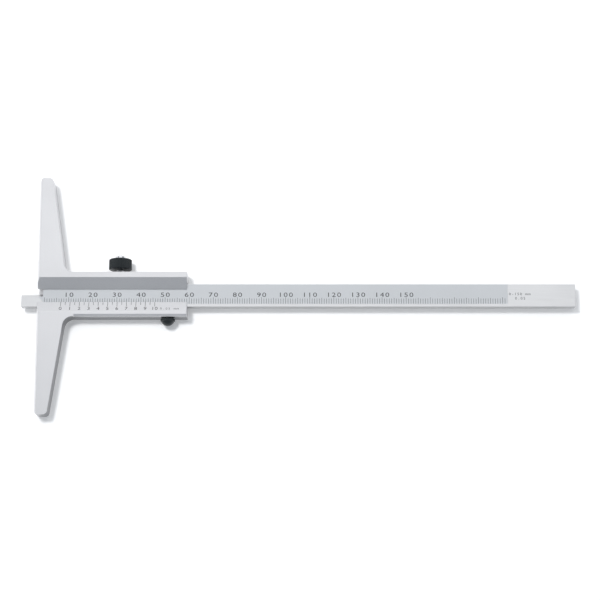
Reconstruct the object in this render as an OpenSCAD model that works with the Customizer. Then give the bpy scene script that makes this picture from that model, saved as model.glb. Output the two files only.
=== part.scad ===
// Vernier depth gauge, 0 to 150 mm, lying on its flat back. Sizes are in millimetres.
// X = 0 is the measuring face, and +X runs along the beam to its far end.
// Y = 0 is the beam's centre line, and Z = 0 is the flat back that the gauge lies on.

/* [Measuring base] */
// Length of the measuring face, from wing tip to wing tip
base_span = 100; // [80:1:150]
// Width of a wing at its tip
wing_tip_w = 5.3; // [4:0.1:8]
// Width of a wing where it meets the slider
wing_root_w = 11.3; // [9:0.1:16]
// Radius of the fillet between a wing and the slider
root_fillet_r = 4; // [1:0.1:8]
// Radius of the rounded corners at a wing's tip
tip_corner_r = 1.7; // [0.5:0.1:1.9]
// Chamfer along the front edge of the measuring face
front_chamfer = 0.8; // [0.3:0.1:1.5]
// Chamfer along the back edge of the measuring face
back_chamfer = 0.4; // [0.2:0.1:1]

/* [Slider] */
// Length of the slider along the beam
slider_len = 62; // [56:1:90]
// Width of the rail above the beam, which holds the lock screw and the gib screws
top_rail_w = 4.2; // [3.5:0.1:7]
// Width of the rail below the beam, which holds the clamp screw
bottom_rail_w = 4.4; // [3.8:0.1:7]
// Thickness of the wall behind the beam
back_wall = 2; // [1.5:0.1:4]
// Height of the front face above the beam
front_wall = 2; // [1.2:0.1:3]
// How far the upper lip reaches over the beam
upper_lip_over = 2.1; // [1:0.1:2.5]
// How far the vernier lip reaches over the beam
vernier_lip_over = 1.9; // [1:0.1:2.5]
// Thickness of both lips at their thin edges
lip_edge_t = 0.3; // [0.2:0.05:0.8]
// Width of the sloping face of the upper lip
upper_bevel_w = 4.7; // [2.5:0.1:5.5]
// Width of the sloping face of the vernier lip
vernier_bevel_w = 4.2; // [2.5:0.1:4.6]
// Chamfer along the slider's lower front edge
edge_chamfer = 0.9; // [0.3:0.1:1.5]

/* [Beam] */
// Length of the beam, narrow tip included
beam_len = 230; // [215:1:320]
// Width of the beam
beam_w = 9.5; // [8:0.1:12]
// Thickness of the beam
beam_t = 4; // [3.5:0.1:6]
// Length of the narrow tip
tip_len = 9; // [5:0.5:14]
// Width of the narrow tip, which lies along the beam's lower edge
tip_w = 5.4; // [4:0.1:7]
// Chamfer along the upper front edge of the narrow tip
tip_chamfer = 1.2; // [0.2:0.1:1.5]
// Distance from the beam's tip to the sunk matte scale area
scale_start = 10.1; // [9.5:0.1:14]
// Length of the sunk matte scale area
scale_len = 191.7; // [180:0.1:200]
// Depth of the sunk matte scale area
scale_depth = 0.1; // [0.05:0.05:0.3]
// Width of the ground rail that is left along the beam's lower edge
ground_rail_w = 1.2; // [0.8:0.1:2]
// How far the beam's tip stands out of the measuring face, the gauge's reading
reading = 6.8; // [0:0.1:150]

/* [Gib] */
// Length of the leaf spring that takes up the beam's play
gib_len = 50; // [42:1:54]
// Thickness of the leaf spring
gib_t = 0.4; // [0.3:0.05:0.5]
// How far the leaf spring is bowed
gib_bow = 0.25; // [0.1:0.05:0.3]
// Distance from the lock screw to each of the two gib screws
gib_screw_offset = 17; // [12:0.5:18]
// Diameter of the gib screws
gib_screw_d = 2; // [1.6:0.1:2.5]
// How deep the gib screws are sunk below the slider's upper edge
gib_screw_sunk = 0.4; // [0.1:0.1:1]
// Diameter of the gib screws' points, which sit in holes in the leaf spring
gib_point_d = 1; // [0.6:0.1:1.2]

/* [Lock screw] */
// Distance of the lock screw from the measuring face
lock_x = 33.9; // [30:0.1:36]
// Diameter of the lock knob
lock_knob_d = 9.5; // [8:0.1:14]
// Height of the lock knob
lock_knob_h = 4.4; // [3:0.1:10]
// Gap between the lock knob and the slider with the screw as it lies
lock_stand_off = 1.5; // [0.5:0.1:3]
// Diameter of the lock screw's thread
lock_thread_d = 3; // [2.5:0.1:4]
// Diameter of the lock screw's riveted head
lock_rivet_d = 4.3; // [4.1:0.1:6]
// Height of the lock screw's riveted head
lock_rivet_h = 2; // [0.8:0.1:2.5]
// Number of flutes round the lock knob
lock_flutes = 32; // [20:1:48]

/* [Clamp screw] */
// Distance of the clamp screw from the slider's far end
clamp_inset = 8; // [6:0.1:14]
// Diameter of the clamp knob
clamp_knob_d = 6; // [5:0.1:8]
// Height of the clamp knob's fluted rim
clamp_rim_h = 1.2; // [0.8:0.1:3]
// Height of the clamp knob's domed end
clamp_dome_h = 1.9; // [1:0.1:2.4]
// Diameter of the clamp screw's thread
clamp_thread_d = 2.5; // [2:0.1:3]
// Number of flutes round the clamp knob
clamp_flutes = 24; // [16:1:36]

/* [Fits] */
// Gap between the beam and each sliding face
slide_gap = 0.04; // [0.02:0.01:0.08]
// Radial gap between a screw or pad and its hole
screw_gap = 0.05; // [0.02:0.01:0.08]
// Gap between the clamp knob and the slider with the screw as it lies
knob_gap = 0.3; // [0.3:0.05:0.6]
// How far a loosened pad stands back from what it presses on
pad_gap = 0.15; // [0.14:0.01:0.25]
// Thickness of a brass pad
pad_t = 1; // [0.6:0.1:1.5]

/* [Hidden] */
$fn = 96;

eps = 0.01;                 // how far a cut runs past the face it opens
past = 1;                   // how far a long cut runs past the ends of the head
arc_bite = 0.005;           // how far a rounding's arc crosses the edges that it joins
rim_over = 0.1;             // how far a knob's chamfer cone starts outside the flutes' crests

// Heights above the flat back
beam_top_z = back_wall + beam_t;
head_t = beam_top_z + front_wall;
mid_z = back_wall + beam_t / 2;
lip_z = beam_top_z + slide_gap + lip_edge_t;

// Distances from the beam's centre line
half_beam = beam_w / 2;
gib_room = gib_t + gib_bow + 2 * screw_gap;
channel_top = half_beam + gib_room;
channel_bottom = half_beam + slide_gap;
slider_top = channel_top + top_rail_w;
slider_bottom = channel_bottom + bottom_rail_w;
upper_lip_y = half_beam - upper_lip_over;
upper_bevel_y = upper_lip_y + upper_bevel_w;
vernier_lip_y = half_beam - vernier_lip_over;
vernier_bevel_y = vernier_lip_y + vernier_bevel_w;

// The leaf spring's lower face is a shallow parabola, nearest to the beam at the lock screw
gib_y0 = half_beam + screw_gap;
gib_steps = 16;
gib_side_gap = 0.2;
gib_h = beam_t - 2 * gib_side_gap;
function gib_low(dx) = gib_y0 + gib_bow * pow(2 * dx / gib_len, 2);
gib_point_h = gib_t * 0.75;
gib_hole_gap = 0.1;

// The clamp screw keeps its distance from the slider's far end
clamp_x = slider_len - clamp_inset;

// Screw slots and knob edges
slot_w = 0.4;
slot_depth = 0.6;
knob_chamfer = 0.25;
flute_depth = 0.22;
lock_pad_y = gib_low(0) + gib_t + pad_gap;
clamp_pad_y = half_beam + pad_gap;

// Region between a corner and an arc that touches both of its edges. Directions a and b have length 1
// and run from the corner along the edges, with b to the left of a. Added, the region fills an inner
// corner, and cut, it rounds an outer one. The arc crosses the edges by a hair instead of only touching.
module corner_arc(corner, a, b, r) {
    half_angle = acos(a * b) / 2;
    t = r / tan(half_angle);
    centre = corner + (a + b) / norm(a + b) * (r / sin(half_angle) - arc_bite);
    difference() {
        polygon([corner - past * (a + b), corner + t * a - past * b, corner + t * a, centre,
                 corner + t * b, corner + t * b - past * a]);
        translate(centre) circle(r = r);
    }
}

// Directions from a wing's root to its tip, above and below the beam
function along_wing(side, edge_y) =
    let (run = [wing_tip_w - wing_root_w, side * (base_span / 2 - edge_y)]) run / norm(run);

// Outline of the wings and the slider, seen from the front
module head_outline() {
    half_span = base_span / 2;
    upper_run = along_wing(1, slider_top);
    lower_run = along_wing(-1, slider_bottom);
    difference() {
        union() {
            polygon([[0, -half_span], [wing_tip_w, -half_span], [wing_root_w, -slider_bottom],
                     [slider_len, -slider_bottom], [slider_len, slider_top], [wing_root_w, slider_top],
                     [wing_tip_w, half_span], [0, half_span]]);
            corner_arc([wing_root_w, slider_top], [1, 0], upper_run, root_fillet_r);
            corner_arc([wing_root_w, -slider_bottom], lower_run, [1, 0], root_fillet_r);
        }
        corner_arc([wing_tip_w, half_span], [-1, 0], -upper_run, tip_corner_r);
        corner_arc([0, half_span], [0, -1], [1, 0], tip_corner_r);
        corner_arc([wing_tip_w, -half_span], -lower_run, [-1, 0], tip_corner_r);
        corner_arc([0, -half_span], [1, 0], [0, 1], tip_corner_r);
    }
}

// Wedges that break the front and back edges of the measuring face
module measuring_face_chamfers() {
    translate([0, base_span / 2 + past, 0]) rotate([90, 0, 0]) linear_extrude(base_span + 2 * past) {
        polygon([[-eps, head_t - front_chamfer - eps], [front_chamfer + eps, head_t + eps],
                 [-eps, head_t + eps]]);
        polygon([[-eps, back_chamfer + eps], [-eps, -eps], [back_chamfer + eps, -eps]]);
    }
}

// Shape that runs the whole length of the slider, given as points in Y and Z
module along_slider(points, from = -past, to = slider_len + past) {
    translate([from, 0, 0]) rotate([90, 0, 90]) linear_extrude(to - from) polygon(points);
}

module beam_channel() {
    along_slider([[-channel_bottom, back_wall - slide_gap], [channel_top, back_wall - slide_gap],
                  [channel_top, beam_top_z + slide_gap], [-channel_bottom, beam_top_z + slide_gap]]);
}

module front_window() {
    along_slider([[-vernier_lip_y, back_wall + slide_gap], [upper_lip_y, back_wall + slide_gap],
                  [upper_lip_y, lip_z], [upper_bevel_y, head_t], [upper_bevel_y, head_t + past],
                  [-vernier_bevel_y, head_t + past], [-vernier_bevel_y, head_t],
                  [-vernier_lip_y, lip_z]]);
}

module lower_edge_chamfer() {
    chamfer_start = wing_root_w + root_fillet_r;
    along_slider([[-slider_bottom - eps, head_t - edge_chamfer - eps], [-slider_bottom - eps, head_t + eps],
                  [-slider_bottom + edge_chamfer + eps, head_t + eps]], from = chamfer_start);
}

// Round hole or rod along Y, from y0 to y1 (y1 above y0), on the screws' height
module rod_y(x, y0, y1, d) {
    translate([x, y1, mid_z]) rotate([90, 0, 0]) cylinder(h = y1 - y0, d = d);
}

module head() {
    color([0.86, 0.86, 0.87]) difference() {
        linear_extrude(head_t) head_outline();
        beam_channel();
        front_window();
        lower_edge_chamfer();
        measuring_face_chamfers();
        rod_y(lock_x, channel_top - eps, slider_top + past, lock_thread_d + 2 * screw_gap);
        for (side = [-1, 1])
            rod_y(lock_x + side * gib_screw_offset, channel_top - eps, slider_top + past,
                  gib_screw_d + 2 * screw_gap);
        rod_y(clamp_x, -slider_bottom - past, -channel_bottom + eps, clamp_thread_d + 2 * screw_gap);
    }
}

// The beam's pieces are in its own coordinates, with its tip at X = 0
module beam_blank() {
    tip_top = tip_w - half_beam;
    translate([0, 0, back_wall]) linear_extrude(beam_t)
        polygon([[0, -half_beam], [beam_len, -half_beam], [beam_len, half_beam], [tip_len, half_beam],
                 [tip_len, tip_top], [0, tip_top]]);
}

// The sunk area starts on a slant that climbs from the ground rail to the tip's chamfer
module scale_area() {
    rail_y = ground_rail_w - half_beam;
    climb = tip_w - tip_chamfer - ground_rail_w;
    translate([0, 0, beam_top_z - scale_depth]) linear_extrude(scale_depth + past)
        polygon([[scale_start - climb, rail_y + climb], [scale_start, rail_y],
                 [scale_start + scale_len, rail_y], [scale_start + scale_len, half_beam + past],
                 [scale_start - climb, half_beam + past]]);
}

module tip_edge_chamfer() {
    tip_top = tip_w - half_beam;
    along_slider([[tip_top + eps, beam_top_z - tip_chamfer - eps], [tip_top + eps, beam_top_z + eps],
                  [tip_top - tip_chamfer - eps, beam_top_z + eps]], from = -past, to = tip_len);
}

module beam() {
    color([0.83, 0.83, 0.83]) translate([-reading, 0, 0]) difference() {
        beam_blank();
        scale_area();
        tip_edge_chamfer();
    }
}

module gib_spring() {
    xs = [for (i = [0 : gib_steps]) gib_len * (i / gib_steps - 0.5)];
    low = [for (dx = xs) [dx, gib_low(dx)]];
    high = [for (i = [gib_steps : -1 : 0]) [xs[i], gib_low(xs[i]) + gib_t]];
    color([0.72, 0.55, 0.3]) difference() {
        translate([lock_x, 0, back_wall + gib_side_gap]) linear_extrude(gib_h)
            polygon(concat(low, high));
        for (side = [-1, 1])
            rod_y(lock_x + side * gib_screw_offset, half_beam, channel_top + past,
                  gib_point_d + 2 * gib_hole_gap);
    }
}

module gib_screw(x) {
    shoulder_y = gib_low(gib_screw_offset + gib_screw_d / 2) + gib_t;
    end_y = slider_top - gib_screw_sunk;
    difference() {
        union() {
            rod_y(x, shoulder_y, end_y, gib_screw_d);
            rod_y(x, shoulder_y - gib_point_h, shoulder_y + eps, gib_point_d);
        }
        translate([x - gib_screw_d, end_y - slot_depth, mid_z - slot_w / 2])
            cube([2 * gib_screw_d, slot_depth + past, slot_w]);
    }
}

module gib_screws() {
    color([0.45, 0.45, 0.47])
        for (side = [-1, 1]) gib_screw(lock_x + side * gib_screw_offset);
}

// Outline of a fluted knob seen along its axis: a tooth's crest, then the floor of the flute after it
module fluted_outline(d, flutes) {
    step = 360 / flutes;
    polygon([for (i = [0 : flutes - 1], k = [[0, 0], [0.45, 0], [0.6, 1], [0.85, 1]])
        let (r = d / 2 - k[1] * flute_depth, a = step * (i + k[0])) [r * cos(a), r * sin(a)]]);
}

// Everything on the lock screw's axis is drawn standing on Z = 0 and pointing up, then laid along +Y
module on_lock_axis(y) {
    translate([lock_x, y, mid_z]) rotate([-90, 0, 0]) children();
}

module on_clamp_axis(y) {
    translate([clamp_x, -y, mid_z]) rotate([90, 0, 0]) children();
}

module chamfered_disc(d, h, c) {
    rotate_extrude() polygon([[0, 0], [d / 2 - c, 0], [d / 2, c], [d / 2, h - c], [d / 2 - c, h], [0, h]]);
}

module lock_knob() {
    color([0.13, 0.14, 0.15]) on_lock_axis(slider_top + lock_stand_off) difference() {
        intersection() {
            linear_extrude(lock_knob_h) fluted_outline(lock_knob_d, lock_flutes);
            chamfered_disc(lock_knob_d + 2 * rim_over, lock_knob_h, knob_chamfer + rim_over);
        }
        translate([0, 0, -past]) cylinder(h = lock_knob_h + 2 * past, d = lock_thread_d + 2 * screw_gap);
    }
}

module rivet_head(d, h) {
    rim = h * 0.55;
    dome = h - rim;
    ball_r = (pow(d / 2, 2) + pow(dome, 2)) / (2 * dome);
    cylinder(h = rim, d = d);
    intersection() {
        translate([0, 0, rim - eps]) cylinder(h = dome + past, d = d);
        translate([0, 0, h - ball_r]) sphere(r = ball_r);
    }
}

module lock_screw() {
    from_y = lock_pad_y + pad_t + slide_gap;
    top_y = slider_top + lock_stand_off + lock_knob_h;
    color([0.8, 0.8, 0.8]) {
        on_lock_axis(from_y) cylinder(h = top_y - from_y + eps, d = lock_thread_d);
        on_lock_axis(top_y) rivet_head(lock_rivet_d, lock_rivet_h);
    }
}

module lock_pad() {
    color([0.78, 0.62, 0.32]) on_lock_axis(lock_pad_y) cylinder(h = pad_t, d = lock_thread_d);
}

module clamp_knob() {
    ball_r = (pow(clamp_knob_d / 2, 2) + pow(clamp_dome_h, 2)) / (2 * clamp_dome_h);
    color([0.16, 0.17, 0.18]) on_clamp_axis(slider_bottom + knob_gap) difference() {
        union() {
            linear_extrude(clamp_rim_h) fluted_outline(clamp_knob_d, clamp_flutes);
            intersection() {
                translate([0, 0, clamp_rim_h - eps])
                    cylinder(h = clamp_dome_h + past, d = clamp_knob_d - 2 * flute_depth);
                translate([0, 0, clamp_rim_h + clamp_dome_h - ball_r]) sphere(r = ball_r);
            }
        }
        translate([0, 0, -past]) cylinder(h = past + clamp_rim_h, d = clamp_thread_d + 2 * screw_gap);
    }
}

module clamp_screw() {
    from_y = clamp_pad_y + pad_t + slide_gap;
    to_y = slider_bottom + knob_gap + clamp_rim_h;
    color([0.8, 0.8, 0.8]) on_clamp_axis(from_y) cylinder(h = to_y - from_y, d = clamp_thread_d);
}

module clamp_pad() {
    color([0.78, 0.62, 0.32]) on_clamp_axis(clamp_pad_y) cylinder(h = pad_t, d = clamp_thread_d);
}

head();
beam();
gib_spring();
gib_screws();
lock_knob();
lock_screw();
lock_pad();
clamp_knob();
clamp_screw();
clamp_pad();
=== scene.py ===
# %% [markdown]
# # A vernier depth gauge
# The gauge is a T-shaped steel head that slides on a long graduated beam. The solid model gives
# every size and place, so this script dresses it: soft edges, graduations, knurls, finishes and
# light.
# %% Load the solid model
import math

import bmesh
import bpy
from mathutils import Matrix, Vector


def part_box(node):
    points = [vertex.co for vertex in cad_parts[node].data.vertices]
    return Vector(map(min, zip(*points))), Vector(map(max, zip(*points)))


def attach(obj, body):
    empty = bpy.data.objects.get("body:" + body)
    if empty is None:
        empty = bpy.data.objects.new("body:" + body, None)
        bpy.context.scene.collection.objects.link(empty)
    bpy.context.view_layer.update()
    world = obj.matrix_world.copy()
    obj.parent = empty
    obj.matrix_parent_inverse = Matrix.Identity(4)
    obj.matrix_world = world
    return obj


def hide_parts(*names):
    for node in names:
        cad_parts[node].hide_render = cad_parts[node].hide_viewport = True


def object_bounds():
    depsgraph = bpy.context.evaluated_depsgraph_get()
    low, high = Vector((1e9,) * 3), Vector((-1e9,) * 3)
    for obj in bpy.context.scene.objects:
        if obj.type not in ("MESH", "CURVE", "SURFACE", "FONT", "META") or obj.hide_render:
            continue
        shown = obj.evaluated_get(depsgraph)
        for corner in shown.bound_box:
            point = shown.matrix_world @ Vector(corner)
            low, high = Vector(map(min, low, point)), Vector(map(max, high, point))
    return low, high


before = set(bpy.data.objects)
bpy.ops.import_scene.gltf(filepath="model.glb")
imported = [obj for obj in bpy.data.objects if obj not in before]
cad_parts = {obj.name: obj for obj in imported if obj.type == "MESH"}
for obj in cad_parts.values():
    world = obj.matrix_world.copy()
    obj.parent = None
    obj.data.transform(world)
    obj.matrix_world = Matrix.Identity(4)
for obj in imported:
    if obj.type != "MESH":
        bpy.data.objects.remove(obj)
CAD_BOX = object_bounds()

MM = 0.001      # a millimetre in metres
print("nodes:", sorted(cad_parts))

# %% [markdown]
# ## From millimetres to a finished piece
# All sizes below are in millimetres, as on a workshop drawing. A piece is built in a bmesh in
# those units and scaled to metres when it becomes an object. The object itself stays at the
# origin, unturned, so that patterns on Object coordinates stick to the steel.
# %% Helpers for pieces
def box_mm(node):
    """The lowest and the highest corner of a solid."""
    return [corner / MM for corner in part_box(node)]


def finish_piece(bm, name, body, materials, replaces=None, smooth_angle=40):
    """Turns a bmesh in millimetres into a shown piece that rides on a body."""
    bmesh.ops.scale(bm, vec=(MM, MM, MM), verts=bm.verts)
    mesh = bpy.data.meshes.new(name)
    bm.to_mesh(mesh)
    bm.free()
    piece = bpy.data.objects.new(name, mesh)
    bpy.context.scene.collection.objects.link(piece)
    for material in materials:
        mesh.materials.append(material)
    if smooth_angle:
        mesh.shade_smooth()
        mesh.set_sharp_from_angle(angle=math.radians(smooth_angle))
    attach(piece, body)
    if replaces:
        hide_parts(replaces)
    print(name, len(mesh.polygons), "faces")
    return piece


# %% [markdown]
# ## Soft edges
# No edge of a finished steel piece is razor sharp: a polishing wheel or a file breaks it. A copy
# of the solid is welded first, because its mesh is loose triangles, and then a narrow bevel runs
# along every sharp edge. It is the bevel that catches the light.
# %% Helpers for welded copies with soft edges
WELD_DISTANCE = 0.004       # corners of loose triangles that lie closer than this are one corner
FLAT_ANGLE = 0.3            # degrees: triangles that bend less than this are one flat face
FLAT_WEIGHT = 80            # how strongly a big face decides the shading at its corners


def merged_copy(node):
    """A copy of a solid in millimetres, its loose triangles welded and its flats made whole."""
    bm = bmesh.new()
    bm.from_mesh(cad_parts[node].data)
    bmesh.ops.scale(bm, vec=(1 / MM, 1 / MM, 1 / MM), verts=bm.verts)
    bmesh.ops.remove_doubles(bm, verts=bm.verts, dist=WELD_DISTANCE)
    bmesh.ops.dissolve_limit(bm, angle_limit=math.radians(FLAT_ANGLE),
                             verts=bm.verts, edges=bm.edges)
    return bm


def soften(bm, width, segments=2, sharp=28, keep=lambda edge: True):
    """Bevels the edges that turn by more than the angle sharp and that keep agrees to."""
    edges = [e for e in bm.edges
             if len(e.link_faces) == 2 and e.calc_face_angle() > math.radians(sharp) and keep(e)]
    bmesh.ops.bevel(bm, geom=edges, offset=width, offset_type="OFFSET", affect="EDGES",
                    segments=segments, profile=0.5, material=-1, clamp_overlap=False)
    print(len(edges), "edges softened by", width, "mm")


def flat_faces_stay_flat(piece):
    """Lets the big faces decide the shading, so that only the narrow bevels look rounded."""
    weighted = piece.modifiers.new("weighted", "WEIGHTED_NORMAL")
    weighted.mode = "FACE_AREA"
    weighted.weight = FLAT_WEIGHT
    weighted.keep_sharp = True


# %% [markdown]
# ## Finishes
# Satin chrome is not a mirror: the steel is blasted or finely ground before plating, so its shine
# is spread and a very fine grain shows. A metallic shader with a middling roughness gives the
# spread, and noise gives the grain. It could be an image, but noise on Object coordinates has no
# seams.
# %% Helpers for node trees
def new_material(name):
    """A material with its node tree, its shader and the coordinates that stick to the piece."""
    material = bpy.data.materials.new(name)
    material.use_nodes = True
    tree = material.node_tree
    shader = tree.nodes["Principled BSDF"]
    coords = tree.nodes.new("ShaderNodeTexCoord")
    return material, tree, shader, coords.outputs["Object"]


def noise(tree, coords, scale, stretch=(1, 1, 1), detail=3.0):
    """Noise with a given number of grains per metre, stretched along an axis for ground lines."""
    mapping = tree.nodes.new("ShaderNodeMapping")
    mapping.inputs["Scale"].default_value = stretch
    texture = tree.nodes.new("ShaderNodeTexNoise")
    texture.inputs["Scale"].default_value = scale
    texture.inputs["Detail"].default_value = detail
    tree.links.new(coords, mapping.inputs["Vector"])
    tree.links.new(mapping.outputs["Vector"], texture.inputs["Vector"])
    return texture.outputs["Fac"]


# %% [markdown]
# A noise lies between 0 and 1 and mostly near the middle. A map range node stretches that middle
# part to the values that a finish needs, and a mix node turns it into a colour between two tones.
# %% Helpers for patterns
def spread(tree, value, low, high, start=0.3, end=0.7):
    """Maps a noise, which mostly lies between start and end, to the range from low to high."""
    ranged = tree.nodes.new("ShaderNodeMapRange")
    for socket, number in (("From Min", start), ("From Max", end),
                           ("To Min", low), ("To Max", high)):
        ranged.inputs[socket].default_value = number
    tree.links.new(value, ranged.inputs["Value"])
    return ranged.outputs["Result"]


def two_tones(tree, value, dark, light):
    """A colour that wanders between two close tones."""
    mix = tree.nodes.new("ShaderNodeMix")
    mix.data_type = "RGBA"
    mix.inputs["A"].default_value = (*dark, 1)
    mix.inputs["B"].default_value = (*light, 1)
    tree.links.new(value, mix.inputs["Factor"])
    return mix.outputs["Result"]


def average(tree, one, other, share):
    """A mix of two patterns, with the given share of the other one."""
    mix = tree.nodes.new("ShaderNodeMix")
    mix.inputs["Factor"].default_value = share
    tree.links.new(one, mix.inputs["A"])
    tree.links.new(other, mix.inputs["B"])
    return mix.outputs["Result"]


def bump(tree, shader, heights, strength, distance):
    """Makes the light fall as if the surface rose and sank by a distance in metres."""
    node = tree.nodes.new("ShaderNodeBump")
    node.inputs["Strength"].default_value = strength
    node.inputs["Distance"].default_value = distance
    tree.links.new(heights, node.inputs["Height"])
    tree.links.new(node.outputs["Normal"], shader.inputs["Normal"])


# %% [markdown]
# One recipe makes every metal here. A fine noise is the grain: it moves the roughness and gives
# the bump. A broad noise is the cloudiness that handling and plating leave, and the two together
# move the colour between two close tones. Only the tones, the grain and its direction differ from
# metal to metal.
# %% The recipe for a metal
CLOUD_SCALE = 45            # clouds per metre
CLOUD_DETAIL = 4.0
GRAIN_SHARE = 0.6           # share of the fine grain in the colour, the rest being clouds
GRAIN_HEIGHT = 0.01 * MM


def metal(name, dark, light, rough, grain, stretch=(1, 1, 1), strength=0.15, metallic=1.0):
    """Metal with fine grain: dark and light are its two tones, rough its range of roughness."""
    material, tree, shader, coords = new_material(name)
    shader.inputs["Metallic"].default_value = metallic
    fine = noise(tree, coords, grain, stretch)
    broad = spread(tree, noise(tree, coords, CLOUD_SCALE, detail=CLOUD_DETAIL), 0, 1)
    cloudy = average(tree, broad, spread(tree, fine, 0, 1), GRAIN_SHARE)
    tree.links.new(two_tones(tree, cloudy, dark, light), shader.inputs["Base Color"])
    tree.links.new(spread(tree, fine, *rough), shader.inputs["Roughness"])
    bump(tree, shader, fine, strength, GRAIN_HEIGHT)
    print(name, "roughness", rough, "grain", grain)
    return material


# %% [markdown]
# The head's front is satin chrome. Its narrow sides get a darker copy of it, painted shade for the
# shade that they show, and the sides that face the near edge of the table get a much darker copy,
# painted shade for the shadowed table that they reflect. The beam is ground lengthwise, so its
# grain runs along X, and its sunk scale area is blasted matte. Its sides get painted shade as
# well, and its near edge a darker painted shade.
# %% The finishes of the head and the beam
GROUND_ALONG_X = (0.02, 1, 1)
satin_chrome = metal("satin_chrome", (0.75, 0.74, 0.745), (0.85, 0.84, 0.845), (0.34, 0.46), 3500,
                     strength=0.4)
# Painted shade: the next three are darker copies of the chrome and the ground steel, standing in
# for the shade that the sides show.
painted_shade_side = metal("painted_shade_side", (0.58, 0.58, 0.59), (0.64, 0.64, 0.65), (0.30, 0.40), 7000)
painted_shade_beam_edge = metal("painted_shade_beam_edge", (0.43, 0.43, 0.435), (0.48, 0.48, 0.485), (0.26, 0.36), 7000)
painted_shade_near_side = metal("painted_shade_near_side", (0.23, 0.23, 0.24), (0.27, 0.27, 0.28), (0.16, 0.26), 7000)
ground_steel = metal("ground_steel", (0.70, 0.695, 0.695), (0.79, 0.785, 0.785), (0.28, 0.42),
                     3000, stretch=GROUND_ALONG_X, strength=0.4)
matte_scale = metal("matte_scale", (0.75, 0.76, 0.77), (0.83, 0.84, 0.85), (0.48, 0.60), 6000,
                    strength=0.5)

# %% [markdown]
# The studs and set screws are bright turned steel, the leaf spring is rolled bronze and the pads
# are brass. The knobs are blackened, which leaves a thin dark oxide with a slight shine. The
# graduations are filled with a dull black paint, which is no metal at all.
# %% The finishes of the small pieces
TURNED_ROUND_Y = (1, 0.05, 1)
screw_steel = metal("screw_steel", (0.72, 0.72, 0.73), (0.80, 0.80, 0.81), (0.16, 0.28), 3000,
                    stretch=TURNED_ROUND_Y)
spring_bronze = metal("spring_bronze", (0.58, 0.40, 0.20), (0.68, 0.49, 0.26), (0.25, 0.40), 2500,
                      stretch=GROUND_ALONG_X)
pad_brass = metal("pad_brass", (0.70, 0.52, 0.22), (0.78, 0.60, 0.28), (0.22, 0.35), 3000)
blackened = metal("blackened_steel", (0.012, 0.015, 0.017), (0.020, 0.025, 0.027), (0.30, 0.45),
                  4000, metallic=0.3)
scale_ink = metal("scale_ink", (0.030, 0.030, 0.032), (0.05, 0.05, 0.052), (0.55, 0.7), 6000,
                  metallic=0.0)

# %% [markdown]
# ## Head
# The real head is one forging, milled and ground. Its solid is already exact, so only its edges
# change. Every edge is softened, also the blunt ones beside the slopes, because a flat next to an
# unbevelled edge would be shaded as if it were curved. Each big side face then gets painted shade:
# a darker copy of the chrome, darkest on the sides that face the near edge of the table.
# %% Head
EDGE_BREAK = 0.10           # width of the bevel along an edge
SIDE_LEAN = 0.3             # a face whose normal rises or falls less than this is a side
SIDE_AREA = 0.3             # in square millimetres: smaller faces belong to the bevels
NEAR_LEAN = -0.05           # a side whose normal points nearer than this faces the near edge
NEAR_SIDE, OTHER_SIDE = 1, 2


def is_side(face):
    return abs(face.normal.z) < SIDE_LEAN and face.calc_area() > SIDE_AREA


head = merged_copy("head")
soften(head, EDGE_BREAK, sharp=15)
# Painted shade: side faces get darker copies of the chrome, the darkest on the sides that face the
# near edge.
for face in filter(is_side, head.faces):
    face.material_index = NEAR_SIDE if face.normal.y < NEAR_LEAN else OTHER_SIDE
head_body = finish_piece(head, "head_body", "head",
                         [satin_chrome, painted_shade_near_side, painted_shade_side],
                         replaces="head", smooth_angle=50)
flat_faces_stay_flat(head_body)

# %% [markdown]
# ## Beam
# The beam is a flat ground bar. Its scale area is sunk a tenth of a millimetre and blasted matte,
# so that the scale reads without glare, and a narrow ground rail stays along the lower edge. One
# mesh carries all its finishes by face, and its sides carry painted shade, darker on the near
# side.
# The tiny step round the sunk area stays sharp.
# %% Beam
beam_low, beam_high = box_mm("beam")
SCALE_SUNK = 0.1            # depth of the matte area that holds the scale
SCALE_FLOOR = beam_high.z - SCALE_SUNK
SAME_LEVEL = 0.01           # an edge whose ends differ less than this in height lies level
ON_FLOOR = 0.02             # a face this close to the scale floor lies on it
FACES_UP = 0.99             # a normal that rises more than this points straight up
WELL_BELOW = 0.5            # an edge this far below the scale floor isn't part of the step
HALF_STEP = SCALE_SUNK / 2
NEAR_EDGE_LEAN = -0.9       # a side whose normal points nearer than this is the near edge
MATTE, SHADED_SIDE, SHADED_NEAR_EDGE = 1, 2, 3


def above_the_sunk_step(edge):
    """Leaves the tiny step round the sunk area sharp: a bevel would be wider than the step."""
    heights = [vertex.co.z for vertex in edge.verts]
    level = abs(heights[0] - heights[1]) < SAME_LEVEL
    return (min(heights) < SCALE_FLOOR - WELL_BELOW
            or (max(heights) > SCALE_FLOOR + HALF_STEP and level))


beam = merged_copy("beam")
soften(beam, EDGE_BREAK, keep=above_the_sunk_step)
for face in beam.faces:
    on_floor = abs(face.calc_center_median().z - SCALE_FLOOR) < ON_FLOOR
    if face.normal.z > FACES_UP and on_floor:
        face.material_index = MATTE
    # Painted shade: the sides get a darker copy of the steel, and the near side a darker one
    # still.
    elif is_side(face):
        face.material_index = SHADED_NEAR_EDGE if face.normal.y < NEAR_EDGE_LEAN else SHADED_SIDE
beam_body = finish_piece(beam, "beam_body", "beam",
                         [ground_steel, matte_scale, painted_shade_side, painted_shade_beam_edge],
                         replaces="beam", smooth_angle=50)
print("scale floor at", round(SCALE_FLOOR, 3), "mm, tip at", round(beam_low.x, 3), "mm")

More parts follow.
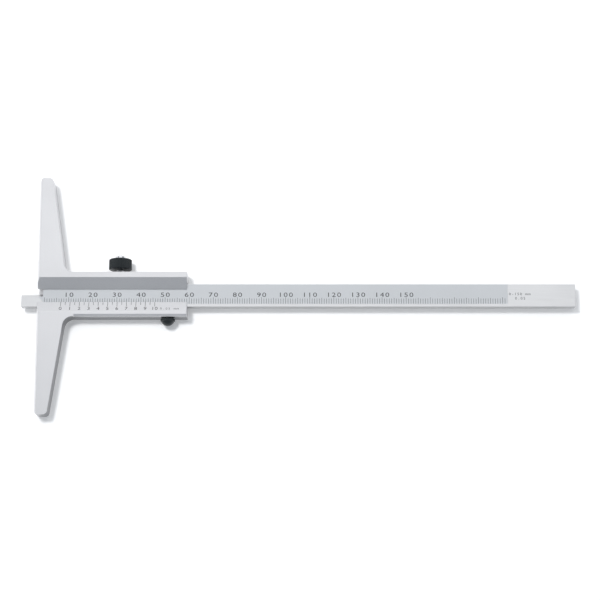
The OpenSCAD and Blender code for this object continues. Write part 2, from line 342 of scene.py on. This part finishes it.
# %% [markdown]
# The sunk step ends in the middle of big flat faces, and smooth shading would bend those faces'
# light there. So every face over a square millimetre is shaded flat, and only the narrow bevels
# are smooth.
# %% Flat shading of the beam's big faces
BIG_FACE = 1 * MM * MM
for polygon in beam_body.data.polygons:
    polygon.use_smooth = polygon.area < BIG_FACE
flat_faces_stay_flat(beam_body)
print(sum(not polygon.use_smooth for polygon in beam_body.data.polygons), "faces shaded flat")

# %% [markdown]
# ## Graduations
# On the real gauge the lines and numbers are etched and filled with black. They could be painted
# by a material, but a real shape stays crisp at any distance. So each line is a thin bar let into
# the steel, whose top stands a few thousandths of a millimetre proud of the face, and each digit
# is a thin slab.
# %% Helpers for marks
MARK_PROUD = 0.006
MARK_DEPTH = 0.03
MARK_THICK = MARK_PROUD + MARK_DEPTH
MARK_MIDDLE = (MARK_PROUD - MARK_DEPTH) / 2
LETTER_TALL = 0.72          # height of a digit in the built-in lettering, as a part of its size


def add_line(bm, x, y0, y1, width, place=Matrix.Identity(4)):
    """A filled line across the scale, from y0 to y1, at x."""
    size = Matrix.Diagonal((width, abs(y1 - y0), MARK_THICK, 1))
    middle = Matrix.Translation((x, (y0 + y1) / 2, MARK_MIDDLE))
    bmesh.ops.create_cube(bm, size=1, matrix=place @ middle @ size)


def sign_mesh(sign):
    """A slab one unit thick in the shape of one sign, centred across on its own outline."""
    curve = bpy.data.curves.new("sign", "FONT")
    curve.body = sign
    curve.resolution_u = 3
    curve.extrude = 0.5
    holder = bpy.data.objects.new("sign", curve)
    mesh = bpy.data.meshes.new_from_object(holder)
    bpy.data.objects.remove(holder)
    bpy.data.curves.remove(curve)
    across = [v.co.x for v in mesh.vertices]
    mesh.transform(Matrix.Translation((-(min(across) + max(across)) / 2, 0, 0)))
    return mesh


def add_text(bm, text, x, y, lettering, place=Matrix.Identity(4)):
    """Signs centred on x with their feet at y. The lettering says how tall they are, how much they
    are stretched in width and how far apart they stand."""
    height, width, pitch = lettering
    start = x - pitch * (len(text) - 1) / 2
    tall = height / LETTER_TALL
    scale = Matrix.Diagonal((tall * width, tall, MARK_THICK, 1))
    for i, sign in enumerate(text):
        if sign == " ":
            continue
        mesh = sign_mesh(sign)
        spot = Matrix.Translation((start + i * pitch, y, MARK_MIDDLE))
        mesh.transform(place @ spot @ scale)
        bm.from_mesh(mesh)
        bpy.data.meshes.remove(mesh)


# %% [markdown]
# The main scale counts from a zero a little behind the tip's end. Its lines rise from the ground
# rail, the fifth and the tenth a little higher, and every tenth carries its number. Two short
# plain lines with the range and the reading stand near the beam's end.
# %% Main scale
SCALE_ZERO = beam_low.x + 9.7
SCALE_LENGTH = 191
LAST_NUMBER = 150
LINE_FOOT = -3.5
LINE_TOP, FIFTH_TOP, TENTH_TOP = -1.3, -1.0, -0.8
MAIN_LINE_WIDTH = 0.135
NUMBER_FOOT = -0.6
NUMBER_LETTERING = (1.9, 1.35, 2.2)
PRINT_LETTERING = (1.1, 1.1, 1.15)
RANGE_SPOT, READING_SPOT = (200, 0.1), (200.2, -1.75)
on_scale = Matrix.Translation((SCALE_ZERO, 0, SCALE_FLOOR))
on_rail = Matrix.Translation((0, 0, beam_high.z))
marks = bmesh.new()
for millimetre in range(SCALE_LENGTH + 1):
    top = TENTH_TOP if millimetre % 10 == 0 else FIFTH_TOP if millimetre % 5 == 0 else LINE_TOP
    add_line(marks, millimetre, LINE_FOOT, top, MAIN_LINE_WIDTH, on_scale)
for number in range(10, LAST_NUMBER + 1, 10):
    add_text(marks, str(number), number, NUMBER_FOOT, NUMBER_LETTERING, on_scale)
add_text(marks, "0-150 mm", *RANGE_SPOT, PRINT_LETTERING, on_rail)
add_text(marks, "0.05", *READING_SPOT, PRINT_LETTERING, on_rail)
finish_piece(marks, "main_scale", "beam", [scale_ink], smooth_angle=None)

# %% [markdown]
# The vernier lies on the sloping lip, so its marks are drawn flat first and then laid on the slope
# by one matrix: X stays along the beam, and Y runs down the slope from the lip's thin edge. Twenty
# parts take up 39 mm, so that each one is 0.05 mm short of two millimetres.
# %% Vernier
LIP_EDGE = Vector((0, -2.85, 6.34))     # the lip's thin edge
LIP_CREST = Vector((0, -7.05, 8.0))     # the top of its slope
VERNIER_ZERO = 9.7
VERNIER_PARTS = 20
PART_LENGTH = 39 / VERNIER_PARTS
VERNIER_LINE_START = -0.05
LONG_LINE, SHORT_LINE = 2.2, 1.45
VERNIER_LINE_WIDTH = 0.16
VERNIER_FOOT = -3.9
VERNIER_LETTERING = (1.5, 1.25, 1.4)
SMALL_LETTERING = (1.0, 1.0, 1.15)
STEP_SPOT = (45.1, -3.7)    # where the lip says how fine the vernier reads
down_the_slope = LIP_EDGE - LIP_CREST
slope_angle = math.atan2(-down_the_slope.z, down_the_slope.y)
on_lip = (Matrix.Translation((VERNIER_ZERO, LIP_EDGE.y, LIP_EDGE.z))
          @ Matrix.Rotation(-slope_angle, 4, "X"))
vernier = bmesh.new()
for part in range(VERNIER_PARTS + 1):
    x = part * PART_LENGTH
    length = SHORT_LINE if part % 2 else LONG_LINE
    add_line(vernier, x, -length, VERNIER_LINE_START, VERNIER_LINE_WIDTH, on_lip)
    if part % 2 == 0:
        add_text(vernier, str(part // 2), x, VERNIER_FOOT, VERNIER_LETTERING, on_lip)
add_text(vernier, "0.05 mm", *STEP_SPOT, SMALL_LETTERING, on_lip)
finish_piece(vernier, "vernier_scale", "head", [scale_ink], smooth_angle=None)
print("slope of", round(math.degrees(slope_angle), 1), "degrees, parts of", PART_LENGTH, "mm")

# %% [markdown]
# ## Turned pieces
# Knobs and studs are turned on a lathe, so they are built ring by ring along an axis. A plain
# profile could be spun, but a knurl and a thread change the radius with the angle. So a ring is
# one closed loop that is extruded to the next height, and its radius may be a number or depend on
# the angle.
# %% Helpers for turned pieces
FULL_TURN = 2 * math.pi
TINY_FLAT = 0.1             # radius of the flat that closes a dome or a blind bore


def turned_piece(rings, sides, place, hollow=False):
    """A closed turned body. rings lists (height, radius), and a radius is a number or takes an
    angle. With hollow, the last ring is joined to the first and leaves a bore."""
    bm = bmesh.new()
    ring = set(bmesh.ops.create_circle(bm, segments=sides, radius=1)["verts"])
    first = last = list(bm.edges)
    for step, (height, radius) in enumerate(rings):
        if step:
            grown = bmesh.ops.extrude_edge_only(bm, edges=last)["geom"]
            ring = {v for v in grown if isinstance(v, bmesh.types.BMVert)}
            last = [e for e in grown
                    if isinstance(e, bmesh.types.BMEdge) and ring.issuperset(e.verts)]
        for vertex in ring:
            angle = math.atan2(vertex.co.y, vertex.co.x) % FULL_TURN
            size = radius(angle) if callable(radius) else radius
            vertex.co = (size * math.cos(angle), size * math.sin(angle), height)
    if hollow:
        bmesh.ops.bridge_loops(bm, edges=first + last)
    else:
        bmesh.ops.contextual_create(bm, geom=first)
        bmesh.ops.contextual_create(bm, geom=last)
    bmesh.ops.recalc_face_normals(bm, faces=bm.faces)
    bmesh.ops.transform(bm, matrix=place, verts=bm.verts)
    return bm


def along_y(x, y, z, up=1):
    """Lays an upright axis along +Y (up=1) or along -Y (up=-1), with its foot at a point."""
    return Matrix.Translation((x, y, z)) @ Matrix.Rotation(-up * math.pi / 2, 4, "X")


def dome_rings(rim_height, rim_radius, top_height, steps=9):
    """Rings of a spherical dome, from its rim to a tiny flat at its top."""
    rise = top_height - rim_height
    ball = (rim_radius ** 2 + rise ** 2) / (2 * rise)
    rim_angle = math.asin(min(1.0, rim_radius / ball))
    rings = []
    for step in range(1, steps + 1):
        radius = max(ball * math.sin(rim_angle * (1 - step / steps)), TINY_FLAT)
        rings.append((top_height - ball + math.sqrt(ball ** 2 - radius ** 2), radius))
    return rings


# %% [markdown]
# ## Lock knob
# The lock knob is a short black disc with a fine straight knurl, bored for its stud. Its rim is
# chamfered at both ends, so that the ridges fade out, and a shallow ring is turned into its outer
# end.
# %% Lock knob
KNURL_POWER = 1.6           # more than 1 makes the grooves narrower than the ridges


def knurl(crest, depth, count):
    """Radius of a straight knurl: rounded ridges and narrow grooves."""
    return lambda angle: crest - depth * (0.5 - 0.5 * math.cos(angle * count)) ** KNURL_POWER


KNURL_DEPTH = 0.2
STEPS_PER_RIDGE = 8
KNURLS = 48
KNOB_CREST = 4.75
KNOB_BORE = 1.55
KNOB_CHAMFER = 0.25
END_RADIUS = KNOB_CREST - KNOB_CHAMFER - 0.15   # where the flat end starts
ROLL_RADIUS = KNOB_CREST - KNOB_CHAMFER - 0.05  # a tiny roll between the flat end and the chamfer
ROLL_HEIGHT = 0.03
RING_OUTER, RING_INNER = 2.9, 2.15              # the shallow ring in the outer end
RING_WALL = 0.15
RING_DEPTH = 0.12
knob_low, knob_high = box_mm("lock_knob")
lock_x = (knob_low.x + knob_high.x) / 2
screw_z = (knob_low.z + knob_high.z) / 2
knob_height = knob_high.y - knob_low.y
ridges = knurl(KNOB_CREST, KNURL_DEPTH, KNURLS)
knob_rings = [(0, KNOB_BORE), (0, END_RADIUS), (ROLL_HEIGHT, ROLL_RADIUS), (KNOB_CHAMFER, ridges),
              (knob_height - KNOB_CHAMFER, ridges), (knob_height - ROLL_HEIGHT, ROLL_RADIUS),
              (knob_height, END_RADIUS), (knob_height, RING_OUTER),
              (knob_height - RING_DEPTH, RING_OUTER - RING_WALL),
              (knob_height - RING_DEPTH, RING_INNER + RING_WALL),
              (knob_height, RING_INNER), (knob_height, KNOB_BORE)]
on_lock_axis = along_y(lock_x, knob_low.y, screw_z)
finish_piece(turned_piece(knob_rings, KNURLS * STEPS_PER_RIDGE, on_lock_axis, hollow=True),
             "lock_knob_turned", "lock_knob", [blackened],
             replaces="lock_knob", smooth_angle=35)

# %% [markdown]
# ## Lock stud
# A die cuts the thread, which climbs by its pitch once round. So the radius of each ring is a
# ridge that is shifted a little further round than on the ring below. Above the knob the stud's
# end is riveted over as a pale dome that keeps the knob on.
# %% Helpers for threaded studs
STUD_SIDES = 48
RINGS_PER_TURN = 6
POINT_TAPER = 0.15
POINT_LENGTH = 0.2
THREAD_START = 0.3
THREAD_MARGIN = 0.4         # length that the thread leaves free, at both ends together


def thread(major, pitch, depth, height):
    """Radius at an angle on the ring at that height: a ridge that climbs with the angle."""
    def radius(angle):
        phase = (height / pitch - angle / FULL_TURN) % 1
        return major - depth * abs(2 * phase - 1)
    return radius


def stud_rings(length, major, pitch, depth, plain):
    """Rings of a stud with a pointed start, a thread and a plain end."""
    rings = [(0, major - depth - POINT_TAPER), (POINT_LENGTH, major - depth)]
    rise = pitch / RINGS_PER_TURN
    for step in range(int((length - plain - THREAD_MARGIN) / rise)):
        height = THREAD_START + step * rise
        rings.append((height, thread(major, pitch, depth, height)))
    rings.append((length - plain, major - depth))
    return rings


# %% [markdown]
# The lock stud is an M3 screw. Its rings run from the point up the thread, through the knob, out
# under the rivet's head, up its rim and over the dome.
# %% Lock stud
LOCK_MAJOR, LOCK_PITCH, LOCK_THREAD_DEPTH = 1.5, 0.5, 0.16
RIVET_RADIUS = 2.15
RIVET_ROUND = 0.08          # the small round under the rivet's head
RIVET_RIM = 1.1
RIVET_HEIGHT = 2.0
stud_low, stud_high = box_mm("lock_screw")
stud_length = stud_high.y - stud_low.y - RIVET_HEIGHT
lock_stud_rings = stud_rings(stud_length, LOCK_MAJOR, LOCK_PITCH, LOCK_THREAD_DEPTH, knob_height)
lock_stud_rings += [(stud_length, LOCK_MAJOR - LOCK_THREAD_DEPTH),
                    (stud_length, RIVET_RADIUS - RIVET_ROUND),
                    (stud_length + RIVET_ROUND, RIVET_RADIUS),
                    (stud_length + RIVET_RIM, RIVET_RADIUS)]
lock_stud_rings += dome_rings(stud_length + RIVET_RIM, RIVET_RADIUS, stud_length + RIVET_HEIGHT)
on_stud_axis = along_y(lock_x, stud_low.y, screw_z)
finish_piece(turned_piece(lock_stud_rings, STUD_SIDES, on_stud_axis), "lock_stud", "lock_knob",
             [screw_steel], replaces="lock_screw", smooth_angle=35)

# %% [markdown]
# ## Clamp knob
# The small knob under the slider is a knurled rim with a domed end. Its bore is blind, so the dome
# is closed. The rings start at the bore's floor, run out along the bore and the flat end, up the
# rim and over the dome.
# %% Clamp knob
CLAMP_KNURLS = 24
CLAMP_CREST = 3.0
CLAMP_BORE = 1.3
CLAMP_CHAMFER = 0.12
RIM_HEIGHT = 1.2
FLAT_END = 2.68             # radius of the flat end that faces the slider
RIM_TOP = 2.72              # radius where the rim ends
DOME_RIM = 2.69             # radius where the dome starts, a tiny step above the rim
DOME_STEP = 0.05
clamp_low, clamp_high = box_mm("clamp_knob")
clamp_x = (clamp_low.x + clamp_high.x) / 2
clamp_height = clamp_high.y - clamp_low.y
small_ridges = knurl(CLAMP_CREST, KNURL_DEPTH, CLAMP_KNURLS)
clamp_rings = [(RIM_HEIGHT, TINY_FLAT), (RIM_HEIGHT, CLAMP_BORE), (0, CLAMP_BORE), (0, FLAT_END),
               (CLAMP_CHAMFER, small_ridges), (RIM_HEIGHT - CLAMP_CHAMFER, small_ridges),
               (RIM_HEIGHT, RIM_TOP), (RIM_HEIGHT + DOME_STEP, DOME_RIM)]
clamp_rings += dome_rings(RIM_HEIGHT + DOME_STEP, DOME_RIM, clamp_height)
on_clamp_axis = along_y(clamp_x, clamp_high.y, screw_z, up=-1)
finish_piece(turned_piece(clamp_rings, CLAMP_KNURLS * STEPS_PER_RIDGE, on_clamp_axis),
             "clamp_knob_turned", "clamp_knob", [blackened],
             replaces="clamp_knob", smooth_angle=35)

# %% [markdown]
# Its stud is threaded like the larger one, with a finer pitch, and ends plainly inside the knob.
# %% Clamp stud
CLAMP_MAJOR, CLAMP_PITCH, CLAMP_THREAD_DEPTH = 1.25, 0.45, 0.14
CLAMP_PLAIN = 0.1
CLAMP_END_RADIUS = 1.0
stud_low, stud_high = box_mm("clamp_screw")
stud_length = stud_high.y - stud_low.y
clamp_stud_rings = stud_rings(stud_length, CLAMP_MAJOR, CLAMP_PITCH, CLAMP_THREAD_DEPTH,
                              CLAMP_PLAIN)
clamp_stud_rings += [(stud_length, CLAMP_END_RADIUS)]
on_stud_axis = along_y(clamp_x, stud_high.y, screw_z, up=-1)
finish_piece(turned_piece(clamp_stud_rings, STUD_SIDES, on_stud_axis), "clamp_stud", "clamp_knob",
             [screw_steel], replaces="clamp_screw", smooth_angle=35)

# %% [markdown]
# ## Small hidden pieces
# The leaf spring, the two gib screws and the brass pads keep their solids' shape. Their copies are
# welded and get soft edges, so that they look like stamped, cut and turned parts when the head
# moves.
# %% Small hidden pieces
THIN_BREAK, PAD_BREAK = 0.04, 0.08
for node, body, slot, material, width in (
        ("gib_spring", "head", "spring_bronze", spring_bronze, THIN_BREAK),
        ("gib_screws", "head", "screw_steel", screw_steel, THIN_BREAK),
        ("lock_pad", "lock_pad", "pad_brass", pad_brass, PAD_BREAK),
        ("clamp_pad", "clamp_pad", "pad_brass", pad_brass, PAD_BREAK)):
    small = merged_copy(node)
    soften(small, width, segments=1, sharp=50)
    finish_piece(small, node + "_soft", body, [material], replaces=node, smooth_angle=35)

# %% [markdown]
# ## Floor
# The gauge lies on a plain white table, which touches the lock knob, its lowest point. A white
# floor needs a very bright light to look pure white, and that light would bleach the steel too. So
# the paint glows a little to the camera and in reflections, and only the shadow stays darker.
# %% Floor
TABLE_REACH = 3.0           # metres from the middle of the table to each edge
floor_mesh = bmesh.new()
bmesh.ops.create_grid(floor_mesh, x_segments=1, y_segments=1, size=TABLE_REACH)
floor_data = bpy.data.meshes.new("floor")
floor_mesh.to_mesh(floor_data)
floor_mesh.free()
floor = bpy.data.objects.new("floor", floor_data)
floor.location.z = CAD_BOX[0][2]
bpy.context.scene.collection.objects.link(floor)
print("floor at", round(floor.location.z / MM, 2), "mm")

# %% [markdown]
# The light path node tells which ray asks for the paint's colour. The camera's ray, a glossy ray
# and a transmission ray see the glow; the others don't, so the glow lights nothing.
# %% Floor paint
FLOOR_GLOW = 0.16
floor_paint = bpy.data.materials.new("floor_paint")
floor_paint.use_nodes = True
tree = floor_paint.node_tree
shader = tree.nodes["Principled BSDF"]
shader.inputs["Base Color"].default_value = (0.92, 0.92, 0.92, 1)
shader.inputs["Roughness"].default_value = 0.9
shader.inputs["Specular IOR Level"].default_value = 0.1
shader.inputs["Emission Color"].default_value = (1, 1, 1, 1)
light_path = tree.nodes.new("ShaderNodeLightPath")
seen = light_path.outputs["Is Camera Ray"]
for ray in ("Is Glossy Ray", "Is Transmission Ray"):
    either = tree.nodes.new("ShaderNodeMath")
    either.operation = "ADD"
    tree.links.new(seen, either.inputs[0])
    tree.links.new(light_path.outputs[ray], either.inputs[1])
    seen = either.outputs["Value"]
glow = tree.nodes.new("ShaderNodeMath")
glow.operation = "MULTIPLY"
glow.inputs[1].default_value = FLOOR_GLOW
tree.links.new(seen, glow.inputs[0])
tree.links.new(glow.outputs["Value"], shader.inputs["Emission Strength"])
floor_data.materials.append(floor_paint)

# %% [markdown]
# ## Light
# Satin metal shows what stands opposite it. So a broad panel hangs overhead for the flats, one
# stands behind for the vernier's slope and one at the left for the chamfers, while the near side
# of the room stays darker for the upper lip. A small lamp, unseen in the metal, gives the crisp
# shadow.
# %% Lights
def panel(name, place, aim, watts, width, tall):
    """A soft rectangular lamp at a place in metres, turned to shine at another."""
    light = bpy.data.lights.new(name, "AREA")
    light.shape = "RECTANGLE"
    light.size = width
    light.size_y = tall
    light.energy = watts
    lamp = bpy.data.objects.new(name, light)
    lamp.location = place
    lamp.rotation_euler = (Vector(aim) - Vector(place)).to_track_quat("-Z", "Y").to_euler()
    bpy.context.scene.collection.objects.link(lamp)
    print(name, round(watts, 2), "W")
    return lamp


def watts_for(brightness, width, tall):
    """The power that gives a panel's face the brightness with which the metal shows it."""
    return brightness * math.pi * width * tall


for name, place, aim, brightness, width, tall in (
        ("overhead_panel", (0.05, 0.56, 0.9), (0.05, 0.56, 0.0), 0.81, 1.1, 1.1),
        ("back_panel", (0.05, 1.0, 0.5), (0.05, 0.0, 0.5), 0.38, 1.4, 0.8),
        ("left_panel", (-0.9, 0.0, 0.25), (0.0, 0.0, 0.0), 0.7, 0.7, 0.7)):
    panel(name, place, aim, watts_for(brightness, width, tall), width, tall)
key = panel("key_lamp", (-0.25, 0.25, 1.2), (0.0, 0.0, 0.0), 8.7, 0.22, 0.22)
key.visible_glossy = False

# %% [markdown]
# The rest of the room is a plain grey, a little blue, which the slope of the upper lip shows.
# %% Room
ROOM_GREY = (0.365, 0.39, 0.42, 1)
world = bpy.data.worlds.new("room")
bpy.context.scene.world = world
world.use_nodes = True
world.node_tree.nodes["Background"].inputs["Color"].default_value = ROOM_GREY
world.node_tree.nodes["Background"].inputs["Strength"].default_value = 1.0

# %% [markdown]
# ## Camera
# The camera looks down on the table from the near side, tilted by not quite twelve degrees, and
# its long lens keeps the beam's edges nearly parallel. Its place was found from the scale's
# numbered lines, which are ten millimetres apart.
# %% Camera
CAMERA_TILT = 11.8
camera_data = bpy.data.cameras.new("camera")
camera_data.sensor_width = 36
camera_data.lens = 103.44
camera_data.clip_start = 0.01
camera = bpy.data.objects.new("camera", camera_data)
camera.location = (0.10886, -0.14816, 0.70589)
camera.rotation_euler = (math.radians(CAMERA_TILT), 0, 0)
bpy.context.scene.collection.objects.link(camera)
bpy.context.scene.camera = camera
bpy.context.scene.view_settings.view_transform = "Standard"
print("lens", camera_data.lens, "mm, tilt", CAMERA_TILT, "degrees")
